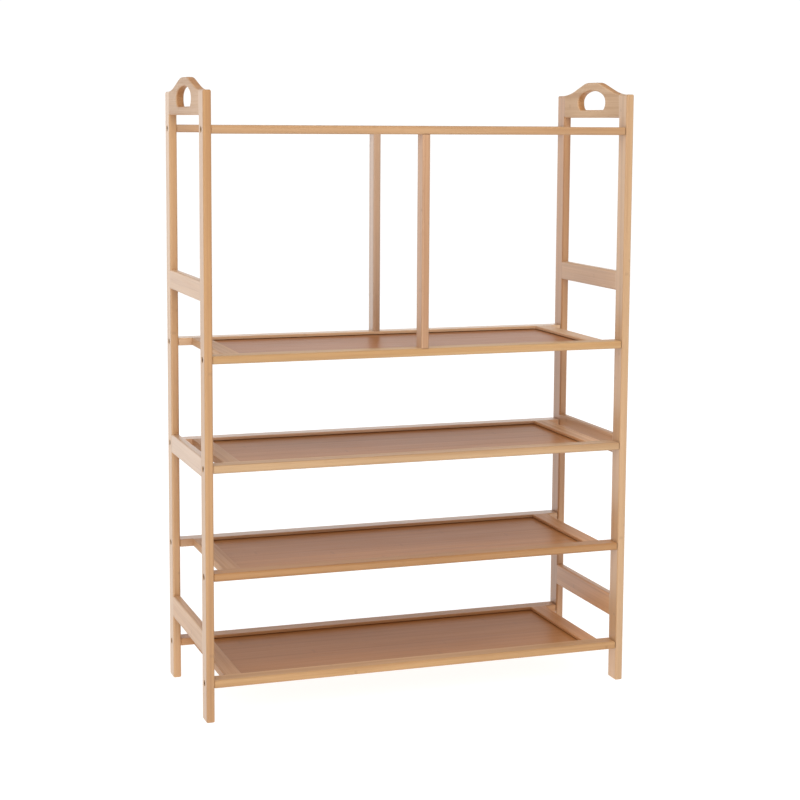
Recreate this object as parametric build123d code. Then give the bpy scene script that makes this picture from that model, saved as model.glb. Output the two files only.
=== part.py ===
from build123d import *
import math
import os

# Tiered shoe rack of laminated bamboo, knock-down construction.
# Frame: X is the width, Y the depth (front at -Y), Z up from the floor.
# The origin is the middle of the footprint. All sizes are in millimetres.

# ---- overall ----
WIDTH = 680.0
DEPTH = 260.0
HEIGHT = 950.0

# ---- side frame ----
FRAME_THICK = 12.5
STILE_DEPTH = 28.6
EDGE_RADIUS = 3.0
FOOT_EASE = 1.0
SHOULDER_DROP = 20.0
SHOULDER_FLAT = 12.5
SHOULDER_RADIUS = 1.5
CREST_HALF = 15.0
CREST_RADIUS = 60.0
CREST_SLOPE = 16.5
CAP_HEIGHT = 56.0
UPPER_RAIL_CENTRE = 639.5
UPPER_RAIL_HEIGHT = 30.0
MIDDLE_RAIL_HEIGHT = 30.0
LOWER_RAIL_CENTRE = 116.5
LOWER_RAIL_HEIGHT = 35.0

# ---- hand hole in each cap ----
GRIP_WIDTH = 100.0
GRIP_ARCH = 18.0
GRIP_BASE = 12.5
GRIP_CORNER = 12.0
GRIP_COVER = 13.0

# ---- tiers ----
SHELF_COUNT = 4
MIDDLE_SHELF = 3
FIRST_SHELF = 57.0
SHELF_PITCH = 161.3
TOP_RAIL_DROP = 76.5

# ---- shelf frame ----
RAIL_THICK = 12.0
RAIL_DEPTH = 26.0
RAIL_SETBACK = 1.3
RAIL_END_EASE = 1.0
BATTEN_WIDTH = 26.0
BATTEN_GAP = 21.0
INNER_RADIUS = 1.5

# ---- shelf panel ----
PANEL_THICK = 3.5
PANEL_RECESS = 5.8
PANEL_TONGUE = 5.5
GROOVE_END_PLAY = 0.5
GROOVE_TOP_PLAY = 1.3

# ---- dividers in the boot bays ----
DIVIDER_THICK = 12.0

# ---- dowels ----
DOWEL_DIAMETER = 6.0
DOWEL_FIT = 0.1
DOWEL_IN_STILE = 11.0
DOWEL_IN_CROSS_RAIL = 18.0
CROSS_RAIL_DOWEL_PITCH = 17.0
CAP_DOWEL_PITCH = 22.0
BATTEN_DOWEL_SHARES = (0.25, 0.75)
DOWEL_TO_SCREW = 1.75
DOWEL_IN_BATTEN = 16.0
DOWEL_EASE = 0.6

# ---- screws ----
HEAD_DIAMETER = 8.6
HEAD_HEIGHT = 2.8
HEAD_EASE = 0.4
HEAD_BELOW_FACE = 1.0
COUNTERBORE_DIAMETER = 9.2
SHANK_DIAMETER = 4.5
SHANK_LENGTH = 45.0
SHANK_HOLE_DIAMETER = 5.0
PILOT_FIT = 0.1
PILOT_SPARE = 2.0
TIP_LENGTH = 4.0
TIP_DIAMETER = 1.1
SOCKET_WIDTH = 4.0
SOCKET_DEPTH = 1.8

# ---- places that follow from the sizes above ----
FRAME_INSIDE = WIDTH / 2 - FRAME_THICK
STILE_INSIDE = DEPTH / 2 - STILE_DEPTH
SHOULDER = HEIGHT - SHOULDER_DROP
CAP_BOTTOM = HEIGHT - CAP_HEIGHT
SHELF_HEIGHTS = [FIRST_SHELF + SHELF_PITCH * i for i in range(SHELF_COUNT)]
MIDDLE_RAIL_CENTRE = SHELF_HEIGHTS[MIDDLE_SHELF - 1]
TOP_RAIL_HEIGHT = HEIGHT - TOP_RAIL_DROP
RAIL_OUTSIDE = DEPTH / 2 - RAIL_SETBACK
RAIL_CENTRE = RAIL_OUTSIDE - RAIL_DEPTH / 2
RAIL_INSIDE = RAIL_OUTSIDE - RAIL_DEPTH
BATTEN_OUTSIDE = FRAME_INSIDE - BATTEN_GAP
BATTEN_INSIDE = BATTEN_OUTSIDE - BATTEN_WIDTH
COUNTERBORE_DEPTH = HEAD_HEIGHT + HEAD_BELOW_FACE
DOWEL_IN_SHELF_RAIL = RAIL_DEPTH / 2 - SHANK_DIAMETER / 2 - DOWEL_TO_SCREW

# Each cross rail of a side frame: (centre height, height of its section).
CROSS_RAILS = {
    "upper_cross_rail": (UPPER_RAIL_CENTRE, UPPER_RAIL_HEIGHT),
    "middle_cross_rail": (MIDDLE_RAIL_CENTRE, MIDDLE_RAIL_HEIGHT),
    "lower_cross_rail": (LOWER_RAIL_CENTRE, LOWER_RAIL_HEIGHT),
}

# Slack for picking edges and faces by their place, and reach of a cut past a surface.
TOLERANCE = 0.01
CUT_PAST = 1.0

ENDS = {"left": -1, "right": 1}
SIDES = {"front": -1, "back": 1}


def span_box(x_span, y_span, z_span):
    """A box between two values along each axis."""
    low = [min(span) for span in (x_span, y_span, z_span)]
    high = [max(span) for span in (x_span, y_span, z_span)]
    size = [b - a for a, b in zip(low, high)]
    return Pos(*low) * Box(*size, align=Align.MIN)


def rod(start, direction, diameter, length):
    """A round bar from a start point along a direction."""
    base = Plane(origin=start, z_dir=direction)
    return base * Cylinder(diameter / 2, length, align=(Align.CENTER, Align.CENTER, Align.MIN))


# ---- screws and dowels, with the holes that they sit in ----

def screw(face_point, inward):
    """Socket screw whose head lies just below the face that it enters."""
    seat = Vector(face_point) + Vector(inward) * COUNTERBORE_DEPTH
    place = Plane(origin=seat, z_dir=Vector(inward))
    up = (Align.CENTER, Align.CENTER, Align.MIN)
    down = (Align.CENTER, Align.CENTER, Align.MAX)
    head = Cylinder(HEAD_DIAMETER / 2, HEAD_HEIGHT, align=down)
    head = chamfer(head.edges().group_by(Axis.Z)[0], HEAD_EASE)
    hexagon = Pos(0, 0, -HEAD_HEIGHT) * RegularPolygon(SOCKET_WIDTH / 2, 6, major_radius=False)
    head -= extrude(hexagon, SOCKET_DEPTH)
    shank = Cylinder(SHANK_DIAMETER / 2, SHANK_LENGTH - TIP_LENGTH, align=up)
    tip = Cone(SHANK_DIAMETER / 2, TIP_DIAMETER / 2, TIP_LENGTH, align=up)
    tip = Pos(0, 0, SHANK_LENGTH - TIP_LENGTH) * tip
    return place * (head + shank + tip)


def screw_hole(face_point, inward):
    """Counterbore and clearance hole in the piece that the head sits in."""
    bore = rod(face_point, inward, COUNTERBORE_DIAMETER, COUNTERBORE_DEPTH)
    return bore + rod(face_point, inward, SHANK_HOLE_DIAMETER, COUNTERBORE_DEPTH + SHANK_LENGTH)


def screw_pilot(face_point, inward):
    """Pilot hole in the piece that the shank holds in."""
    depth = COUNTERBORE_DEPTH + SHANK_LENGTH + PILOT_SPARE
    return rod(face_point, inward, SHANK_DIAMETER + PILOT_FIT, depth)


def dowel(joint_point, direction, reach_back, reach_ahead):
    """Glued dowel that crosses a joint plane."""
    start = Vector(joint_point) - Vector(direction) * reach_back
    peg = rod(start, direction, DOWEL_DIAMETER, reach_back + reach_ahead)
    rims = peg.edges().filter_by(GeomType.CIRCLE)
    return chamfer(rims, DOWEL_EASE)


def dowel_hole(joint_point, direction, reach_back, reach_ahead):
    """Hole for a dowel, as deep as the dowel is long on each side of the joint."""
    start = Vector(joint_point) - Vector(direction) * reach_back
    return rod(start, direction, DOWEL_DIAMETER + DOWEL_FIT, reach_back + reach_ahead)


# ---- side frames ----

def crest_outline():
    """Outline of a side frame from the crest of its cap round to its feet.

    Each flank of the crest is a straight line between two tangent arcs. The radius of the
    lower, hollow arc follows from the depth that is left for the flank.
    """
    slope = math.radians(CREST_SLOPE)
    foot = DEPTH / 2 - SHOULDER_FLAT
    run = foot - CREST_HALF
    both_radii = (run - SHOULDER_DROP / math.tan(slope)) / math.tan(slope / 2)
    sweep_radius = both_radii - CREST_RADIUS
    crest = Line((0, HEIGHT), (CREST_HALF, HEIGHT))
    convex = CenterArc((CREST_HALF, HEIGHT - CREST_RADIUS), CREST_RADIUS, 90, -CREST_SLOPE)
    sweep_centre = (foot, SHOULDER + sweep_radius)
    concave = CenterArc(sweep_centre, sweep_radius, 270 - CREST_SLOPE, CREST_SLOPE)
    flank = Line(convex @ 1, concave @ 0)
    edge = Polyline(concave @ 1, (DEPTH / 2, SHOULDER), (DEPTH / 2, 0), (0, 0))
    half = Curve() + [crest, convex, flank, concave, edge]
    outline = half + mirror(half, about=Plane.YZ)
    face = make_face(outline)
    level = face.vertices().filter_by(lambda v: abs(v.Y - SHOULDER) < TOLERANCE)
    corners = level.filter_by(lambda v: abs(v.X) > foot + TOLERANCE)
    return fillet(corners, SHOULDER_RADIUS)


def grip_outline():
    """Hand hole: a low arch over a flat base with round corners."""
    half = GRIP_WIDTH / 2
    spring = HEIGHT - GRIP_COVER - GRIP_ARCH
    base = spring - GRIP_BASE
    arch = EllipticalCenterArc((0, spring), half, GRIP_ARCH, arc_size=180)
    tub = Polyline(arch @ 1, (-half, base), (half, base), arch @ 0)
    face = make_face(Curve() + [arch, tub])
    corners = face.vertices().group_by(Axis.Y)[0]
    return fillet(corners, GRIP_CORNER)


def side_frame_blank():
    """The glued-up side frame in one piece, with its routed edges, outer face at X = 0."""
    rails = sorted((centre - tall / 2, centre + tall / 2) for centre, tall in CROSS_RAILS.values())
    floors = [-CUT_PAST] + [top for bottom, top in rails]
    ceilings = [bottom for bottom, top in rails] + [CAP_BOTTOM]
    profile = crest_outline() - grip_outline()
    for low, high in zip(floors, ceilings):
        profile -= Pos(0, (low + high) / 2) * Rectangle(2 * STILE_INSIDE, high - low)
    blank = extrude(Plane.YZ * profile, FRAME_THICK)
    rims = blank.faces().filter_by(Axis.X).edges()
    blank = fillet(rims.filter_by(lambda e: e.center().Z > TOLERANCE), EDGE_RADIUS)
    soles = blank.faces().group_by(Axis.Z)[0]
    return chamfer(soles.edges(), FOOT_EASE)


def frame_dowel_joints():
    """Joint points of the dowels in one side frame, each with its outward direction."""
    rows = [(centre, CROSS_RAIL_DOWEL_PITCH) for centre, tall in CROSS_RAILS.values()]
    rows.append(((CAP_BOTTOM + SHOULDER) / 2, CAP_DOWEL_PITCH))
    joints = []
    for centre, pitch in rows:
        for side in SIDES.values():
            for step in (-0.5, 0.5):
                point = (FRAME_THICK / 2, side * STILE_INSIDE, centre + step * pitch)
                joints.append((point, (0, side, 0)))
    return joints


def frame_screw_points():
    """Where the screws enter the outer face of one side frame."""
    heights = SHELF_HEIGHTS + [TOP_RAIL_HEIGHT]
    return [(0, side * RAIL_CENTRE, z) for z in heights for side in SIDES.values()]


def side_frame_pieces():
    """Pieces of the left side frame, outer face at X = 0, by name."""
    blank = side_frame_blank()
    for point in frame_screw_points():
        blank -= screw_hole(point, (1, 0, 0))
    pegs = []
    for point, outward in frame_dowel_joints():
        blank -= dowel_hole(point, outward, DOWEL_IN_CROSS_RAIL, DOWEL_IN_STILE)
        pegs.append(dowel(point, outward, DOWEL_IN_CROSS_RAIL, DOWEL_IN_STILE))
    thick = (0, FRAME_THICK)
    middle = (-STILE_INSIDE, STILE_INSIDE)
    pieces = {}
    for name, side in SIDES.items():
        reach = (side * STILE_INSIDE, side * DEPTH / 2)
        pieces[name + "_stile"] = blank & span_box(thick, reach, (0, HEIGHT))
    for name, (centre, tall) in CROSS_RAILS.items():
        pieces[name] = blank & span_box(thick, middle, (centre - tall, centre + tall))
    pieces["cap"] = blank & span_box(thick, middle, (CAP_BOTTOM, HEIGHT))
    pieces["frame_dowels"] = Compound(pegs)
    return pieces


def build_side_frames(nodes):
    """Left side frame in place, and the right one as its mirror image."""
    for name, piece in side_frame_pieces().items():
        left = Pos(-WIDTH / 2, 0, 0) * piece
        nodes["left_" + name] = left
        nodes["right_" + name] = mirror(left, about=Plane.YZ)


# ---- shelves ----

def shelf_frame_blank():
    """Rails and battens of a shelf as one ring, centred on Z = 0."""
    plan = Sketch()
    for side in SIDES.values():
        plan += Pos(0, side * RAIL_CENTRE) * Rectangle(2 * FRAME_INSIDE, RAIL_DEPTH)
    for end in ENDS.values():
        centre = end * (BATTEN_INSIDE + BATTEN_WIDTH / 2)
        plan += Pos(centre, 0) * Rectangle(BATTEN_WIDTH, 2 * RAIL_INSIDE)
    blank = extrude(Pos(0, 0, -RAIL_THICK / 2) * plan, RAIL_THICK)
    rims = blank.faces().filter_by(Axis.Z).edges()
    outer = rims.filter_by(lambda e: abs(e.center().Y) > RAIL_OUTSIDE - TOLERANCE)
    blank = fillet(outer, EDGE_RADIUS)
    rims = blank.faces().filter_by(Axis.Z).edges()
    inner = rims.filter_by(lambda e: abs(e.center().Y) < RAIL_INSIDE + TOLERANCE)
    blank = fillet(inner, INNER_RADIUS)
    end_faces = blank.faces().filter_by(lambda f: abs(f.center().X) > FRAME_INSIDE - TOLERANCE)
    return chamfer(end_faces.edges(), RAIL_END_EASE)


def panel_span():
    """Half length and half depth of a shelf panel, with the tongues in the grooves."""
    return BATTEN_INSIDE + PANEL_TONGUE, RAIL_INSIDE + PANEL_TONGUE


def shelf_panel():
    """Thin board that lies in the grooves, below the tops of the rails."""
    length, depth = panel_span()
    top = RAIL_THICK / 2 - PANEL_RECESS
    return span_box((-length, length), (-depth, depth), (top - PANEL_THICK, top))


def panel_groove():
    """Room for the panel and its play in the grooves of rails and battens."""
    length, depth = (half + GROOVE_END_PLAY for half in panel_span())
    top = RAIL_THICK / 2 - PANEL_RECESS
    heights = (top - PANEL_THICK, top + GROOVE_TOP_PLAY)
    return span_box((-length, length), (-depth, depth), heights)


def batten_dowel_joints():
    """Joint points of the dowels between battens and rails, with outward directions."""
    groove_end = BATTEN_INSIDE + PANEL_TONGUE + GROOVE_END_PLAY
    solid_width = BATTEN_OUTSIDE - groove_end
    joints = []
    for end in ENDS.values():
        for side in SIDES.values():
            for share in BATTEN_DOWEL_SHARES:
                x = end * (groove_end + share * solid_width)
                joints.append(((x, side * RAIL_INSIDE, 0), (0, side, 0)))
    return joints


def rail_screw_points(height):
    """Where the screws at one height enter the outer faces, with inward directions."""
    points = []
    for end in ENDS.values():
        for side in SIDES.values():
            points.append(((end * WIDTH / 2, side * RAIL_CENTRE, height), (-end, 0, 0)))
    return points


def shelf_pieces():
    """Pieces of one shelf, centred on Z = 0, by name."""
    blank = shelf_frame_blank() - panel_groove()
    for point, inward in rail_screw_points(0):
        blank -= screw_pilot(point, inward)
    pegs = []
    for point, outward in batten_dowel_joints():
        blank -= dowel_hole(point, outward, DOWEL_IN_BATTEN, DOWEL_IN_SHELF_RAIL)
        pegs.append(dowel(point, outward, DOWEL_IN_BATTEN, DOWEL_IN_SHELF_RAIL))
    tall = (-RAIL_THICK, RAIL_THICK)
    pieces = {}
    for name, side in SIDES.items():
        reach = (side * RAIL_INSIDE, side * DEPTH / 2)
        pieces[name + "_rail"] = blank & span_box((-WIDTH / 2, WIDTH / 2), reach, tall)
    for name, end in ENDS.items():
        reach = (0, end * WIDTH / 2)
        pieces[name + "_batten"] = blank & span_box(reach, (-RAIL_INSIDE, RAIL_INSIDE), tall)
    pieces["panel"] = shelf_panel()
    pieces["dowels"] = Compound(pegs)
    return pieces


def build_shelves(nodes):
    """Four equal shelves, each held by four screws."""
    pieces = shelf_pieces()
    for i, height in enumerate(SHELF_HEIGHTS, start=1):
        for name, piece in pieces.items():
            nodes[f"shelf_{i}_{name}"] = Pos(0, 0, height) * piece
        screws = [screw(point, inward) for point, inward in rail_screw_points(height)]
        nodes[f"shelf_{i}_screws"] = Compound(screws)


# ---- open top: two rails and two dividers ----

def top_rail(side):
    """Front or back rail under the caps, with its edges rounded."""
    reach = (side * RAIL_INSIDE, side * RAIL_OUTSIDE)
    heights = (TOP_RAIL_HEIGHT - RAIL_THICK / 2, TOP_RAIL_HEIGHT + RAIL_THICK / 2)
    rail = span_box((-FRAME_INSIDE, FRAME_INSIDE), reach, heights)
    rail = fillet(rail.edges().filter_by(Axis.X), EDGE_RADIUS)
    rail = chamfer(rail.faces().filter_by(Axis.X).edges(), RAIL_END_EASE)
    for point, inward in rail_screw_points(TOP_RAIL_HEIGHT):
        rail -= screw_pilot(point, inward)
    return rail


def divider(side):
    """Upright between the top shelf and the top rail."""
    foot = SHELF_HEIGHTS[-1] + RAIL_THICK / 2
    head = TOP_RAIL_HEIGHT - RAIL_THICK / 2
    reach = (side * RAIL_INSIDE, side * RAIL_OUTSIDE)
    post = span_box((-DIVIDER_THICK / 2, DIVIDER_THICK / 2), reach, (foot, head))
    return fillet(post.edges().filter_by(Axis.Z), EDGE_RADIUS)


def divider_screw_points(side):
    """Screws down through the top rail and up through the rail of the top shelf."""
    down = ((0, side * RAIL_CENTRE, TOP_RAIL_HEIGHT + RAIL_THICK / 2), (0, 0, -1))
    up = ((0, side * RAIL_CENTRE, SHELF_HEIGHTS[-1] - RAIL_THICK / 2), (0, 0, 1))
    return down, up


def build_top(nodes):
    """Top rails, dividers and the screws that hold them."""
    divider_screws = []
    for name, side in SIDES.items():
        down, up = divider_screw_points(side)
        nodes[f"top_{name}_rail"] = top_rail(side) - screw_hole(*down)
        nodes[f"shelf_{SHELF_COUNT}_{name}_rail"] -= screw_hole(*up)
        nodes[f"{name}_divider"] = divider(side) - screw_pilot(*down) - screw_pilot(*up)
        divider_screws += [screw(*down), screw(*up)]
    rail_screws = [screw(point, inward) for point, inward in rail_screw_points(TOP_RAIL_HEIGHT)]
    nodes["top_rail_screws"] = Compound(rail_screws)
    nodes["divider_screws"] = Compound(divider_screws)


def build():
    """Every node of the rack by name."""
    nodes = {}
    build_side_frames(nodes)
    build_shelves(nodes)
    build_top(nodes)
    return nodes


os.makedirs("parts", exist_ok=True)
for node_name, node_shape in build().items():
    export_step(node_shape, f"parts/{node_name}.step")
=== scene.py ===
import math
import random

import bpy
from mathutils import Matrix, Vector


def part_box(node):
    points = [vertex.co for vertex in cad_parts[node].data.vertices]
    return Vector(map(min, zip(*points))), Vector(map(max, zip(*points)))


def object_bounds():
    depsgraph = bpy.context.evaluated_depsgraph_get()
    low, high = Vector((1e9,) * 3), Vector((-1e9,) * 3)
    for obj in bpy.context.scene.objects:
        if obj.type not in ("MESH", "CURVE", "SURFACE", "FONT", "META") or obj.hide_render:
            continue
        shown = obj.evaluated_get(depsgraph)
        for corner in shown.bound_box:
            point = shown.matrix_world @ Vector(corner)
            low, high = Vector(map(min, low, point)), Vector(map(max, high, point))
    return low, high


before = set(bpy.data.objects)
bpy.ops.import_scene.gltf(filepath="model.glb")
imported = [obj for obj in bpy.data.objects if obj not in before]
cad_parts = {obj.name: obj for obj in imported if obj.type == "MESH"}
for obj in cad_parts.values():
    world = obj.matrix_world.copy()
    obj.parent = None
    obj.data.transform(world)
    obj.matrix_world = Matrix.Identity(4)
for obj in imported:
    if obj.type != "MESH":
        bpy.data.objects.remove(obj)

cad_low, cad_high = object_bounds()

# Every piece of the rack is a CAD node. This script gives each one its material, and adds
# the floor, the lights and the camera. Metres; X is the width, -Y the front, Z up.

X, Y, Z = 0, 1, 2
WHITE = (1.0, 1.0, 1.0)

# ---- camera ----
CAMERA_AT = (-0.9229, -2.6544, 0.8884)
CAMERA_YAW = 19.32
CAMERA_PITCH = -6.69
CAMERA_ROLL = 0.36
CAMERA_LENS = 80.94
CAMERA_SHIFT = (-0.0026, -0.0861)
SENSOR_WIDTH = 36.0

# ---- surroundings ----
SURROUND_LIGHT = 0.50
REFLECTED_FRONT = 0.50
REFLECTED_BEHIND = 1.40
BACKDROP_WHITE = 1.05
# Where the reflected backdrop fades out: upwards, by the Z part of a direction, and round
# to the front, by its Y part.
BACKDROP_TOP = (0.22, 0.32)
BACKDROP_SIDE = (0.2, 0.8)
FLOOR_HALF = 6.0
FLOOR_WHITE = 0.32
FLOOR_LIFT = 0.90
FLOOR_ROUGH = 0.9
FLOOR_GLOSS = 0.1

# Soft boxes: place, width and height, and power in watts.
SOFT_BOXES = {
    "front_box": ((-0.9, -3.6, 2.6), (2.6, 2.0), 50),
    "high_box": ((-0.5, -1.7, 3.1), (2.4, 1.6), 36),
    "left_box": ((-3.0, -1.2, 1.4), (2.0, 2.0), 16),
    "back_box": ((0.6, 3.4, 1.8), (2.4, 2.0), 14),
}

# ---- bamboo: strips, layers and the glue lines between them ----
# Each board takes its wood from another place, up to this far away along each axis.
SHIFT_LIMIT = 5
STRIP_WIDTH = 0.0062
PANEL_STRIP_WIDTH = 0.0165
LAYER_THICK = 0.0061
SEAM_HALF_WIDTH = 0.0006
SEAM_CONTRAST = 0.10
# Strip edges wander by this share of a strip, with about this many waves to a metre.
EDGE_WANDER = 0.25
EDGE_WAVES = 3.0
# Steps that keep the random tones of layers, strips and knots apart.
LAYER_STEP = 37.0
LAYER_TONE_STEP = 5.3
KNOT_PLACE_STEP = 57.3
KNOT_TONE_STEP = 11.9

# ---- bamboo: the lines where the culm had its knots ----
KNOT_SPACING = 0.42
KNOT_HALF_LENGTH = 0.0016
KNOT_CONTRAST = 0.22
# Half lengths at which a knot starts to fade and is gone.
KNOT_CORE = 0.4
KNOT_FADE = 2.2
# A strip whose random number is below the first has no knots; above the second they are full.
KNOT_SHARE = (0.35, 0.9)

# ---- bamboo: patterns, as scales along the grain and across it ----
FIBRE_SCALE = (9.0, 620.0)
STREAK_SCALE = (2.2, 120.0)
PORES_SCALE = (60.0, 1500.0)
CLOUD_SCALE = (4.0, 9.0)
BUNDLE_SCALE = (40.0, 900.0)

# How a pattern becomes a share of another colour: its low and high level, the share at each.
STREAK_RAMP = (0.30, 0.62, 0.25, 1.0)
STRIP_RAMP = (0.15, 1.0, 0.0, 0.36)
FIBRE_RAMP = (0.52, 0.72, 0.0, 0.30)
PORES_RAMP = (0.60, 0.72, 0.0, 0.22)
BUNDLE_RAMP = (0.18, 0.42, 0.7, 0.0)
# The same for the brightness of wide clouds.
CLOUD_RAMP = (0.25, 0.75, 0.94, 1.05)

# A face is end grain when it is turned to the grain, and one of a cap's narrow edges when it
# isn't turned to X: where each change starts and ends.
END_GRAIN_TURN = (0.80, 0.97)
NARROW_FACE_TURN = (0.35, 0.85)

# ---- bamboo: linear colours ----
# Dark fibre, middle tone, pale strip.
FRAME_TONES = ((0.46, 0.255, 0.130), (0.585, 0.360, 0.200), (0.665, 0.440, 0.270))
SHELF_TONES = ((0.44, 0.235, 0.115), (0.560, 0.335, 0.180), (0.640, 0.410, 0.240))
PANEL_TONES = ((0.420, 0.210, 0.098), (0.490, 0.254, 0.126), (0.560, 0.302, 0.158))
LAYER_TONE = (0.90, 0.78, 0.62)
LAYER_CONTRAST = 0.5
# Darker colour on a cap's narrow faces: partly their edge-grain tone, partly painted shade.
CAP_EDGE_TONE_AND_SHADE = (0.84, 0.66, 0.47)
KNOT_TONE = (0.22, 0.105, 0.045)
END_GRAIN_TONE = (0.19, 0.095, 0.042)
# Painted shade for the narrow gap at a rail's right end.
PAINTED_GAP_SHADE = (0.060, 0.024, 0.008)

# ---- bamboo: surface ----
SATIN_ROUGH = 0.42
SATIN_GLOSS = 0.5
LIGHT_COAT = 0.25
COAT_ROUGH = 0.35
VARNISH_IOR = 1.48
# Change of roughness at the low and the high level of the fibres.
FIBRE_LEVELS = (0.3, 0.75)
FIBRE_ROUGH = (-0.05, 0.09)
END_GRAIN_ROUGH = 0.18
# Relief: parts of the height, its depth in metres and how strongly it shows.
FIBRE_RELIEF = -0.6
PORES_RELIEF = -0.4
KNOT_RELIEF = 0.7
SEAM_RELIEF = -0.5
RELIEF_DEPTH = 0.00012
RELIEF_STRENGTH = 0.45

# ---- bamboo: the shaded gap where a rail meets the right frame ----
RAIL_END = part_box("top_front_rail")[1][X]
RAIL_JOINT_SHADE = 0.0016
RAIL_JOINT_DEPTH = 0.85

# ---- blackened steel ----
STEEL_DARK = (0.025, 0.020, 0.017)
STEEL_PALE = (0.070, 0.058, 0.048)
STEEL_GRAIN_SCALE = 700.0
STEEL_COLOUR_LEVELS = (0.35, 0.7)
STEEL_ROUGH_RAMP = (0.3, 0.7, 0.32, 0.5)
STEEL_RELIEF_DEPTH = 0.00004
STEEL_RELIEF_STRENGTH = 0.5
STEEL_METALLIC = 0.9

# Boards whose colour differs from the rest: factors for red, green and blue. Many are the boards'
# own tone. The pale, bluish factors on the caps and on the back rails and right battens of shelves
# 3 and 4 are painted sheen. The darker factors on the lowest shelf's back rail and left batten are
# painted shade under the shelf above.
BOARD_TONES_AND_PAINTED_LIGHT = {
    "left_front_stile": (0.87, 0.79, 0.61),
    "left_back_stile": (1.02, 0.98, 0.85),
    "right_front_stile": (1.02, 1.06, 1.04),
    "right_back_stile": (0.82, 0.69, 0.54),
    "left_cap": (0.96, 1.03, 1.17),
    "right_cap": (1.03, 1.13, 1.26),
    "right_middle_cross_rail": (0.97, 0.92, 0.86),
    "right_lower_cross_rail": (1.14, 1.06, 0.92),
    "front_divider": (0.91, 0.87, 0.90),
    "back_divider": (0.86, 0.90, 1.03),
    "top_front_rail": (0.95, 0.98, 1.00),
    "shelf_1_front_rail": (1.04, 1.09, 1.06),
    "shelf_2_front_rail": (0.81, 0.74, 0.63),
    "shelf_3_front_rail": (1.01, 1.11, 1.18),
    "shelf_4_front_rail": (0.98, 1.01, 0.92),
    "shelf_1_back_rail": (0.95, 0.85, 0.72),
    "shelf_3_back_rail": (1.30, 1.40, 1.60),
    "shelf_4_back_rail": (1.18, 1.30, 1.45),
    "shelf_1_panel": (0.92, 0.83, 0.60),
    "shelf_2_panel": (0.93, 0.84, 0.62),
    "shelf_3_panel": (0.93, 0.84, 0.62),
    "shelf_4_panel": (0.77, 0.60, 0.44),
    "shelf_1_left_batten": (0.92, 0.86, 0.80),
    "shelf_2_left_batten": (0.92, 0.88, 0.84),
    "shelf_3_left_batten": (0.94, 0.91, 0.88),
    "shelf_4_left_batten": (0.94, 0.92, 0.90),
    "shelf_1_right_batten": (1.10, 0.98, 0.84),
    "shelf_2_right_batten": (1.10, 1.03, 0.96),
    "shelf_3_right_batten": (1.28, 1.28, 1.24),
    "shelf_4_right_batten": (1.18, 1.26, 1.40),
}

# Boards with more or less varnish than the rest of their kind.
BOARD_COATS = {
    "shelf_1_back_rail": 0.2,
    "front_divider": 0.25,
    "back_divider": 1.0,
    "left_middle_cross_rail": 1.0,
    "right_middle_cross_rail": 0.15,
    "left_lower_cross_rail": 0.2,
}


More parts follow.
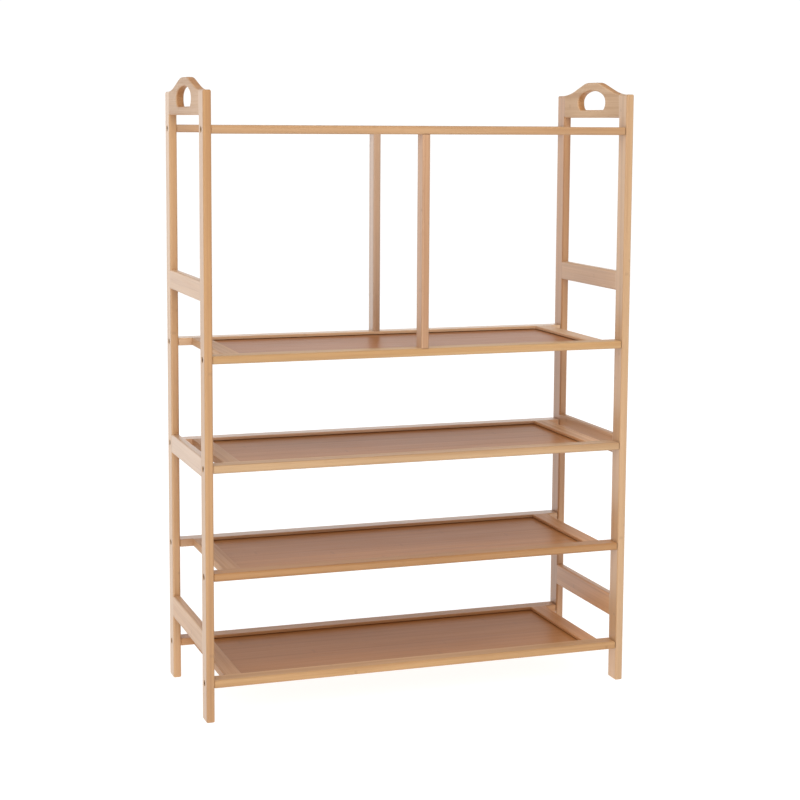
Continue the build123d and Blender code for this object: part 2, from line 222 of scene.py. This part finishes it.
class Nodes:
    """Short calls for building the node tree of a material or a world."""

    # Places of the colour sockets on a Mix node.
    MIX_COLOUR_INPUTS = (6, 7)
    MIX_COLOUR_OUTPUT = 2

    def __init__(self, owner):
        owner.use_nodes = True
        self.owner = owner
        self.tree = owner.node_tree

    def add(self, kind, **settings):
        """A new node of one kind."""
        node = self.tree.nodes.new(kind)
        for key, value in settings.items():
            setattr(node, key, value)
        return node

    def put(self, socket, value):
        """Links or sets one input."""
        if isinstance(value, bpy.types.NodeSocket):
            self.tree.links.new(value, socket)
        else:
            socket.default_value = value

    def set_shader(self, **values):
        """Links or sets inputs of the Principled shader, named with _ for each space."""
        shader = self.tree.nodes["Principled BSDF"]
        for name, value in values.items():
            self.put(shader.inputs[name.replace("_", " ")], value)

    def math(self, operation, *values):
        """Result of one operation on numbers."""
        node = self.add("ShaderNodeMath", operation=operation)
        for socket, value in zip(node.inputs, values):
            self.put(socket, value)
        return node.outputs[0]

    def vector(self, x, y, z):
        """Three values as one vector."""
        node = self.add("ShaderNodeCombineXYZ")
        for socket, value in zip(node.inputs, (x, y, z)):
            self.put(socket, value)
        return node.outputs[0]

    def parts(self, vector):
        """The three values of a vector."""
        node = self.add("ShaderNodeSeparateXYZ")
        self.put(node.inputs[0], vector)
        return node.outputs

    def place(self):
        """Place on the object, in metres."""
        return self.add("ShaderNodeTexCoord").outputs["Object"]

    def turned_to(self, axis):
        """How far the surface faces along an axis, either way: 1 straight along it, 0 across."""
        normal = self.add("ShaderNodeNewGeometry").outputs["Normal"]
        return self.math("ABSOLUTE", self.parts(normal)[axis])

    def noise(self, vector, detail=3.0, rough=0.5, distortion=0.0):
        """Soft noise, from about 0 to 1."""
        node = self.add("ShaderNodeTexNoise", noise_dimensions="3D")
        self.put(node.inputs["Vector"], vector)
        node.inputs["Scale"].default_value = 1.0
        node.inputs["Detail"].default_value = detail
        node.inputs["Roughness"].default_value = rough
        node.inputs["Distortion"].default_value = distortion
        return node.outputs["Fac"]

    def random_of(self, value):
        """A number from 0 to 1 that depends on a value and looks random."""
        node = self.add("ShaderNodeTexWhiteNoise", noise_dimensions="1D")
        self.put(node.inputs["W"], value)
        return node.outputs["Value"]

    def ramp(self, value, low, high, out_low=0.0, out_high=1.0, smooth=True):
        """Value mapped from low..high to out_low..out_high, and held at both ends."""
        kind = "SMOOTHSTEP" if smooth else "LINEAR"
        node = self.add("ShaderNodeMapRange", interpolation_type=kind, clamp=True)
        for socket, number in zip(node.inputs, (value, low, high, out_low, out_high)):
            self.put(socket, number)
        return node.outputs[0]

    def choose(self, test, if_one, if_zero):
        """One of two values, by a test that is 1 or 0."""
        node = self.add("ShaderNodeMix")
        for name, value in (("Factor", test), ("A", if_zero), ("B", if_one)):
            self.put(node.inputs[name], value)
        return node.outputs["Result"]

    def mix(self, factor, a, b, blend="MIX"):
        """Colour a with a share of colour b laid over it."""
        node = self.add("ShaderNodeMix", data_type="RGBA", blend_type=blend)
        self.put(node.inputs["Factor"], factor)
        for index, value in zip(self.MIX_COLOUR_INPUTS, (a, b)):
            linked = isinstance(value, bpy.types.NodeSocket)
            self.put(node.inputs[index], value if linked else (*value, 1.0))
        return node.outputs[self.MIX_COLOUR_OUTPUT]

    def bump(self, height, distance, strength):
        """Surface direction for a relief."""
        node = self.add("ShaderNodeBump")
        node.inputs["Strength"].default_value = strength
        node.inputs["Distance"].default_value = distance
        self.put(node.inputs["Height"], height)
        return node.outputs["Normal"]


# ---- bamboo ----
def board_axes(nodes, along, wide, seed):
    """Coordinates along the grain, across the strips and through the board, in metres."""
    place = nodes.parts(nodes.place())
    draw = random.Random(seed)
    shift = [draw.uniform(-SHIFT_LIMIT, SHIFT_LIMIT) for _ in range(3)]
    thin = ({X, Y, Z} - {along, wide}).pop()
    return [nodes.math("ADD", place[i], shift[i]) for i in (along, wide, thin)]


def stretched(nodes, axes, scale):
    """The board's coordinates at one scale along the grain and another across it."""
    along_scale, across_scale = scale
    scales = (along_scale, across_scale, across_scale)
    return nodes.vector(*(nodes.math("MULTIPLY", a, s) for a, s in zip(axes, scales)))


def near_seam(nodes, place, pitch):
    """1 on the glue line between two strips, 0 away from it."""
    inside = nodes.math("FRACT", place)
    distance = nodes.math("MINIMUM", inside, nodes.math("SUBTRACT", 1.0, inside))
    return nodes.ramp(distance, 0.0, SEAM_HALF_WIDTH / pitch, 1.0, 0.0)


def lamination(nodes, axes, strip):
    """Numbers of the strip and of its layer, and 1 on the glue lines around the strip."""
    length, across, depth = axes
    waves = nodes.vector(nodes.math("MULTIPLY", length, EDGE_WAVES), 0.0, 0.0)
    wander = nodes.noise(waves, detail=1.0)
    edge = nodes.math("MULTIPLY_ADD", wander, EDGE_WANDER, nodes.math("DIVIDE", across, strip))
    level = nodes.math("DIVIDE", depth, LAYER_THICK)
    layer = nodes.math("FLOOR", level)
    index = nodes.math("MULTIPLY_ADD", layer, LAYER_STEP, nodes.math("FLOOR", edge))
    seam = nodes.math("MAXIMUM", near_seam(nodes, edge, strip),
                      near_seam(nodes, level, LAYER_THICK))
    return index, layer, seam


def knot_lines(nodes, length, index):
    """1 on the line of a knot, at another place and strength in each strip, 0 elsewhere."""
    shift = nodes.random_of(nodes.math("ADD", index, KNOT_PLACE_STEP))
    place = nodes.math("FRACT", nodes.math("MULTIPLY_ADD", length, 1 / KNOT_SPACING, shift))
    distance = nodes.math("ABSOLUTE", nodes.math("SUBTRACT", place, 0.5))
    half = KNOT_HALF_LENGTH / KNOT_SPACING
    line = nodes.ramp(distance, half * KNOT_CORE, half * KNOT_FADE, 1.0, 0.0)
    strength = nodes.ramp(nodes.random_of(nodes.math("ADD", index, KNOT_TONE_STEP)), *KNOT_SHARE)
    return nodes.math("MULTIPLY", line, strength)


def grain_patterns(nodes, axes):
    """Noise of the fibres, the streaks, the pores and the wide clouds."""
    fibre = nodes.noise(stretched(nodes, axes, FIBRE_SCALE), rough=0.6)
    streak = nodes.noise(stretched(nodes, axes, STREAK_SCALE), detail=4.0, rough=0.55,
                         distortion=0.3)
    pores = nodes.noise(stretched(nodes, axes, PORES_SCALE), detail=1.0)
    cloud = nodes.noise(stretched(nodes, axes, CLOUD_SCALE), detail=2.0)
    return fibre, streak, pores, cloud


def end_grain(nodes, axes, base):
    """Colour of a sawn end: dark bundles of fibre on the base colour."""
    bundles = nodes.add("ShaderNodeTexVoronoi", voronoi_dimensions="3D")
    nodes.put(bundles.inputs["Vector"], stretched(nodes, axes, BUNDLE_SCALE))
    bundles.inputs["Scale"].default_value = 1.0
    spots = nodes.ramp(bundles.outputs["Distance"], *BUNDLE_RAMP)
    return nodes.mix(spots, base, END_GRAIN_TONE)


def rail_joint_shade(nodes):
    """Shade in the narrow gap at the right end of a rail, 0 along the rest of it."""
    return nodes.ramp(nodes.parts(nodes.place())[X], RAIL_END - RAIL_JOINT_SHADE,
                      RAIL_END - RAIL_JOINT_SHADE / 3, 0.0, RAIL_JOINT_DEPTH)


def bamboo(name, along, wide, tones, seed, tone_and_painted_light, coat, strip=STRIP_WIDTH, rough=SATIN_ROUGH,
           gloss=SATIN_GLOSS, painted_end_shade=False, edge_tone_and_shade=None):
    """Laminated bamboo under satin varnish, with its grain along one axis."""
    nodes = Nodes(bpy.data.materials.new(name))
    axes = board_axes(nodes, along, wide, seed)
    index, layer, seam = lamination(nodes, axes, strip)
    knot = knot_lines(nodes, axes[0], index)
    fibre, streak, pores, cloud = grain_patterns(nodes, axes)

    # Each board's factors: its own tone, and on some boards painted sheen or painted shade.
    dark, middle, pale = [tuple(t * c for t, c in zip(tone_and_painted_light, tone)) for tone in tones]
    colour = nodes.mix(nodes.ramp(streak, *STREAK_RAMP), dark, middle)
    colour = nodes.mix(nodes.ramp(nodes.random_of(index), *STRIP_RAMP), colour, pale)
    colour = nodes.mix(nodes.ramp(fibre, *FIBRE_RAMP), colour, dark)
    colour = nodes.mix(nodes.ramp(pores, *PORES_RAMP), colour, dark)
    layer_tone = nodes.random_of(nodes.math("ADD", layer, LAYER_TONE_STEP))
    layer_share = nodes.math("MULTIPLY", layer_tone, LAYER_CONTRAST)
    colour = nodes.mix(layer_share, colour, LAYER_TONE, blend="MULTIPLY")
    shade = nodes.ramp(cloud, *CLOUD_RAMP, smooth=False)
    colour = nodes.mix(1.0, colour, nodes.vector(shade, shade, shade), blend="MULTIPLY")
    colour = nodes.mix(nodes.math("MULTIPLY", knot, KNOT_CONTRAST), colour, KNOT_TONE)
    colour = nodes.mix(nodes.math("MULTIPLY", seam, SEAM_CONTRAST), colour, KNOT_TONE)

    sawn_end = nodes.ramp(nodes.turned_to(along), *END_GRAIN_TURN)
    colour = nodes.mix(sawn_end, colour, end_grain(nodes, axes, middle))
    # On caps the narrow faces are darkened: partly edge-grain tone, partly painted shade.
    if edge_tone_and_shade:
        narrow_face = nodes.ramp(nodes.turned_to(X), *NARROW_FACE_TURN, 1.0, 0.0)
        colour = nodes.mix(narrow_face, colour, edge_tone_and_shade, blend="MULTIPLY")
    # Painted shade at the right end of a rail, where it meets the right frame.
    if painted_end_shade:
        colour = nodes.mix(rail_joint_shade(nodes), colour, PAINTED_GAP_SHADE)

    fibre_rough = (rough + change for change in FIBRE_ROUGH)
    roughness = nodes.ramp(fibre, *FIBRE_LEVELS, *fibre_rough, smooth=False)
    roughness = nodes.math("MULTIPLY_ADD", sawn_end, END_GRAIN_ROUGH, roughness)
    height = nodes.math("MULTIPLY", pores, PORES_RELIEF)
    for pattern, relief in ((fibre, FIBRE_RELIEF), (knot, KNOT_RELIEF), (seam, SEAM_RELIEF)):
        height = nodes.math("MULTIPLY_ADD", pattern, relief, height)
    nodes.set_shader(
        Base_Color=colour,
        Roughness=roughness,
        Normal=nodes.bump(height, RELIEF_DEPTH, RELIEF_STRENGTH),
        Specular_IOR_Level=gloss,
        Coat_Weight=coat,
        Coat_Roughness=COAT_ROUGH,
        IOR=VARNISH_IOR,
    )
    return nodes.owner


# ---- the other materials ----
def black_steel(name):
    """Dark blackened steel with a fine uneven grain."""
    nodes = Nodes(bpy.data.materials.new(name))
    scaled = nodes.add("ShaderNodeVectorMath", operation="SCALE")
    nodes.put(scaled.inputs[0], nodes.place())
    scaled.inputs["Scale"].default_value = STEEL_GRAIN_SCALE
    grain = nodes.noise(scaled.outputs[0], detail=4.0, rough=0.6)
    nodes.set_shader(
        Base_Color=nodes.mix(nodes.ramp(grain, *STEEL_COLOUR_LEVELS), STEEL_DARK, STEEL_PALE),
        Roughness=nodes.ramp(grain, *STEEL_ROUGH_RAMP),
        Normal=nodes.bump(grain, STEEL_RELIEF_DEPTH, STEEL_RELIEF_STRENGTH),
        Metallic=STEEL_METALLIC,
    )
    return nodes.owner


def floor_white(name):
    """Matt white that shines a little, so that the floor is as bright as the backdrop."""
    nodes = Nodes(bpy.data.materials.new(name))
    nodes.set_shader(
        Base_Color=(FLOOR_WHITE, FLOOR_WHITE, FLOOR_WHITE, 1.0),
        Roughness=FLOOR_ROUGH,
        Specular_IOR_Level=FLOOR_GLOSS,
        Emission_Color=(*WHITE, 1.0),
        Emission_Strength=FLOOR_LIFT,
    )
    return nodes.owner


# ---- which board is made of what ----
def look_of(node):
    """Settings for the bamboo of one CAD node."""
    if "dowels" in node:
        return {"along": Y, "wide": Z, "tones": SHELF_TONES, "rough": 0.6, "coat": LIGHT_COAT}
    if "panel" in node:
        return {"along": X, "wide": Y, "tones": PANEL_TONES, "strip": PANEL_STRIP_WIDTH,
                "rough": 0.34, "gloss": 0.13, "coat": 0.0}
    if "back_rail" in node:
        return {"along": X, "wide": Y, "tones": SHELF_TONES, "coat": 1.0, "painted_end_shade": True}
    if "batten" in node:
        return {"along": Y, "wide": X, "tones": SHELF_TONES, "gloss": 0.2, "coat": 0.0}
    if "front_rail" in node:
        return {"along": X, "wide": Y, "tones": SHELF_TONES, "gloss": 0.2, "coat": 0.0,
                "painted_end_shade": True}
    if "cap" in node:
        return {"along": Y, "wide": Z, "tones": FRAME_TONES, "gloss": 0.15, "coat": 0.0,
                "edge_tone_and_shade": CAP_EDGE_TONE_AND_SHADE}
    if "stile" in node or "divider" in node:
        return {"along": Z, "wide": Y, "tones": FRAME_TONES, "coat": 0.8}
    return {"along": Y, "wide": Z, "tones": FRAME_TONES, "coat": 0.5}


def dress_nodes():
    """Gives every CAD node its own material."""
    for seed, (node, piece) in enumerate(sorted(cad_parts.items())):
        if "screws" in node:
            finish = black_steel("black_steel_" + node)
        else:
            look = look_of(node)
            look["coat"] = BOARD_COATS.get(node, look["coat"])
            tone_and_painted_light = BOARD_TONES_AND_PAINTED_LIGHT.get(node, WHITE)
            finish = bamboo("bamboo_" + node, seed=seed, tone_and_painted_light=tone_and_painted_light, **look)
        for slot in piece.material_slots:
            slot.material = finish


# ---- the studio ----
def pale_floor():
    """Wide white floor that the rack stands on."""
    mesh = bpy.data.meshes.new("floor")
    ways = ((-1, -1), (1, -1), (1, 1), (-1, 1))
    corners = [(FLOOR_HALF * x, FLOOR_HALF * y, 0) for x, y in ways]
    mesh.from_pydata(corners, [], [(0, 1, 2, 3)])
    mesh.materials.append(floor_white("pale_floor"))
    floor = bpy.data.objects.new("floor", mesh)
    bpy.context.collection.objects.link(floor)


def area_light(name, place, target, size, power):
    """Soft rectangular light that faces a target point and shows in no reflection."""
    light = bpy.data.lights.new(name, "AREA")
    light.shape = "RECTANGLE"
    light.size, light.size_y = size
    light.energy = power
    lamp = bpy.data.objects.new(name, light)
    lamp.location = place
    aim = Vector(target) - Vector(place)
    lamp.rotation_euler = aim.to_track_quat("-Z", "Y").to_euler()
    lamp.visible_glossy = False
    bpy.context.collection.objects.link(lamp)


def reflected_backdrop(nodes):
    """Brightness that reflections see: a backdrop behind the rack, lit low down, and a dim room."""
    direction = nodes.parts(nodes.add("ShaderNodeTexCoord").outputs["Generated"])
    backdrop = nodes.ramp(direction[Z], *BACKDROP_TOP, REFLECTED_BEHIND, REFLECTED_FRONT,
                          smooth=False)
    return nodes.ramp(direction[Y], *BACKDROP_SIDE, REFLECTED_FRONT, backdrop, smooth=False)


def studio_world():
    """Even light all round, with its own brightness for reflections and for the background."""
    nodes = Nodes(bpy.data.worlds.new("studio"))
    path = nodes.add("ShaderNodeLightPath").outputs
    level = nodes.choose(path["Is Glossy Ray"], reflected_backdrop(nodes), SURROUND_LIGHT)
    level = nodes.choose(path["Is Camera Ray"], BACKDROP_WHITE, level)
    sky = nodes.tree.nodes["Background"]
    sky.inputs["Color"].default_value = (*WHITE, 1.0)
    nodes.put(sky.inputs["Strength"], level)
    bpy.context.scene.world = nodes.owner


def studio_light():
    """Soft boxes in front of the rack, above it, to its left and, weaker, behind it."""
    middle = (cad_low + cad_high) / 2
    for name, (place, size, power) in SOFT_BOXES.items():
        area_light(name, place, middle, size, power)


def photo_camera():
    """Camera at the viewing angle of the reference."""
    yaw, pitch, roll = (math.radians(a) for a in (CAMERA_YAW, CAMERA_PITCH, CAMERA_ROLL))
    ahead = Vector((math.sin(yaw) * math.cos(pitch), math.cos(yaw) * math.cos(pitch),
                    math.sin(pitch)))
    level = Vector((math.cos(yaw), -math.sin(yaw), 0))
    above = level.cross(ahead)
    right = math.cos(roll) * level + math.sin(roll) * above
    up = math.cos(roll) * above - math.sin(roll) * level
    data = bpy.data.cameras.new("camera")
    data.lens = CAMERA_LENS
    data.sensor_width = SENSOR_WIDTH
    data.shift_x, data.shift_y = CAMERA_SHIFT
    camera = bpy.data.objects.new("camera", data)
    turn = Matrix((right, up, -ahead)).transposed().to_4x4()
    camera.matrix_world = Matrix.Translation(CAMERA_AT) @ turn
    bpy.context.collection.objects.link(camera)
    bpy.context.scene.camera = camera


dress_nodes()
pale_floor()
studio_world()
studio_light()
photo_camera()
bpy.context.scene.view_settings.view_transform = "Standard"
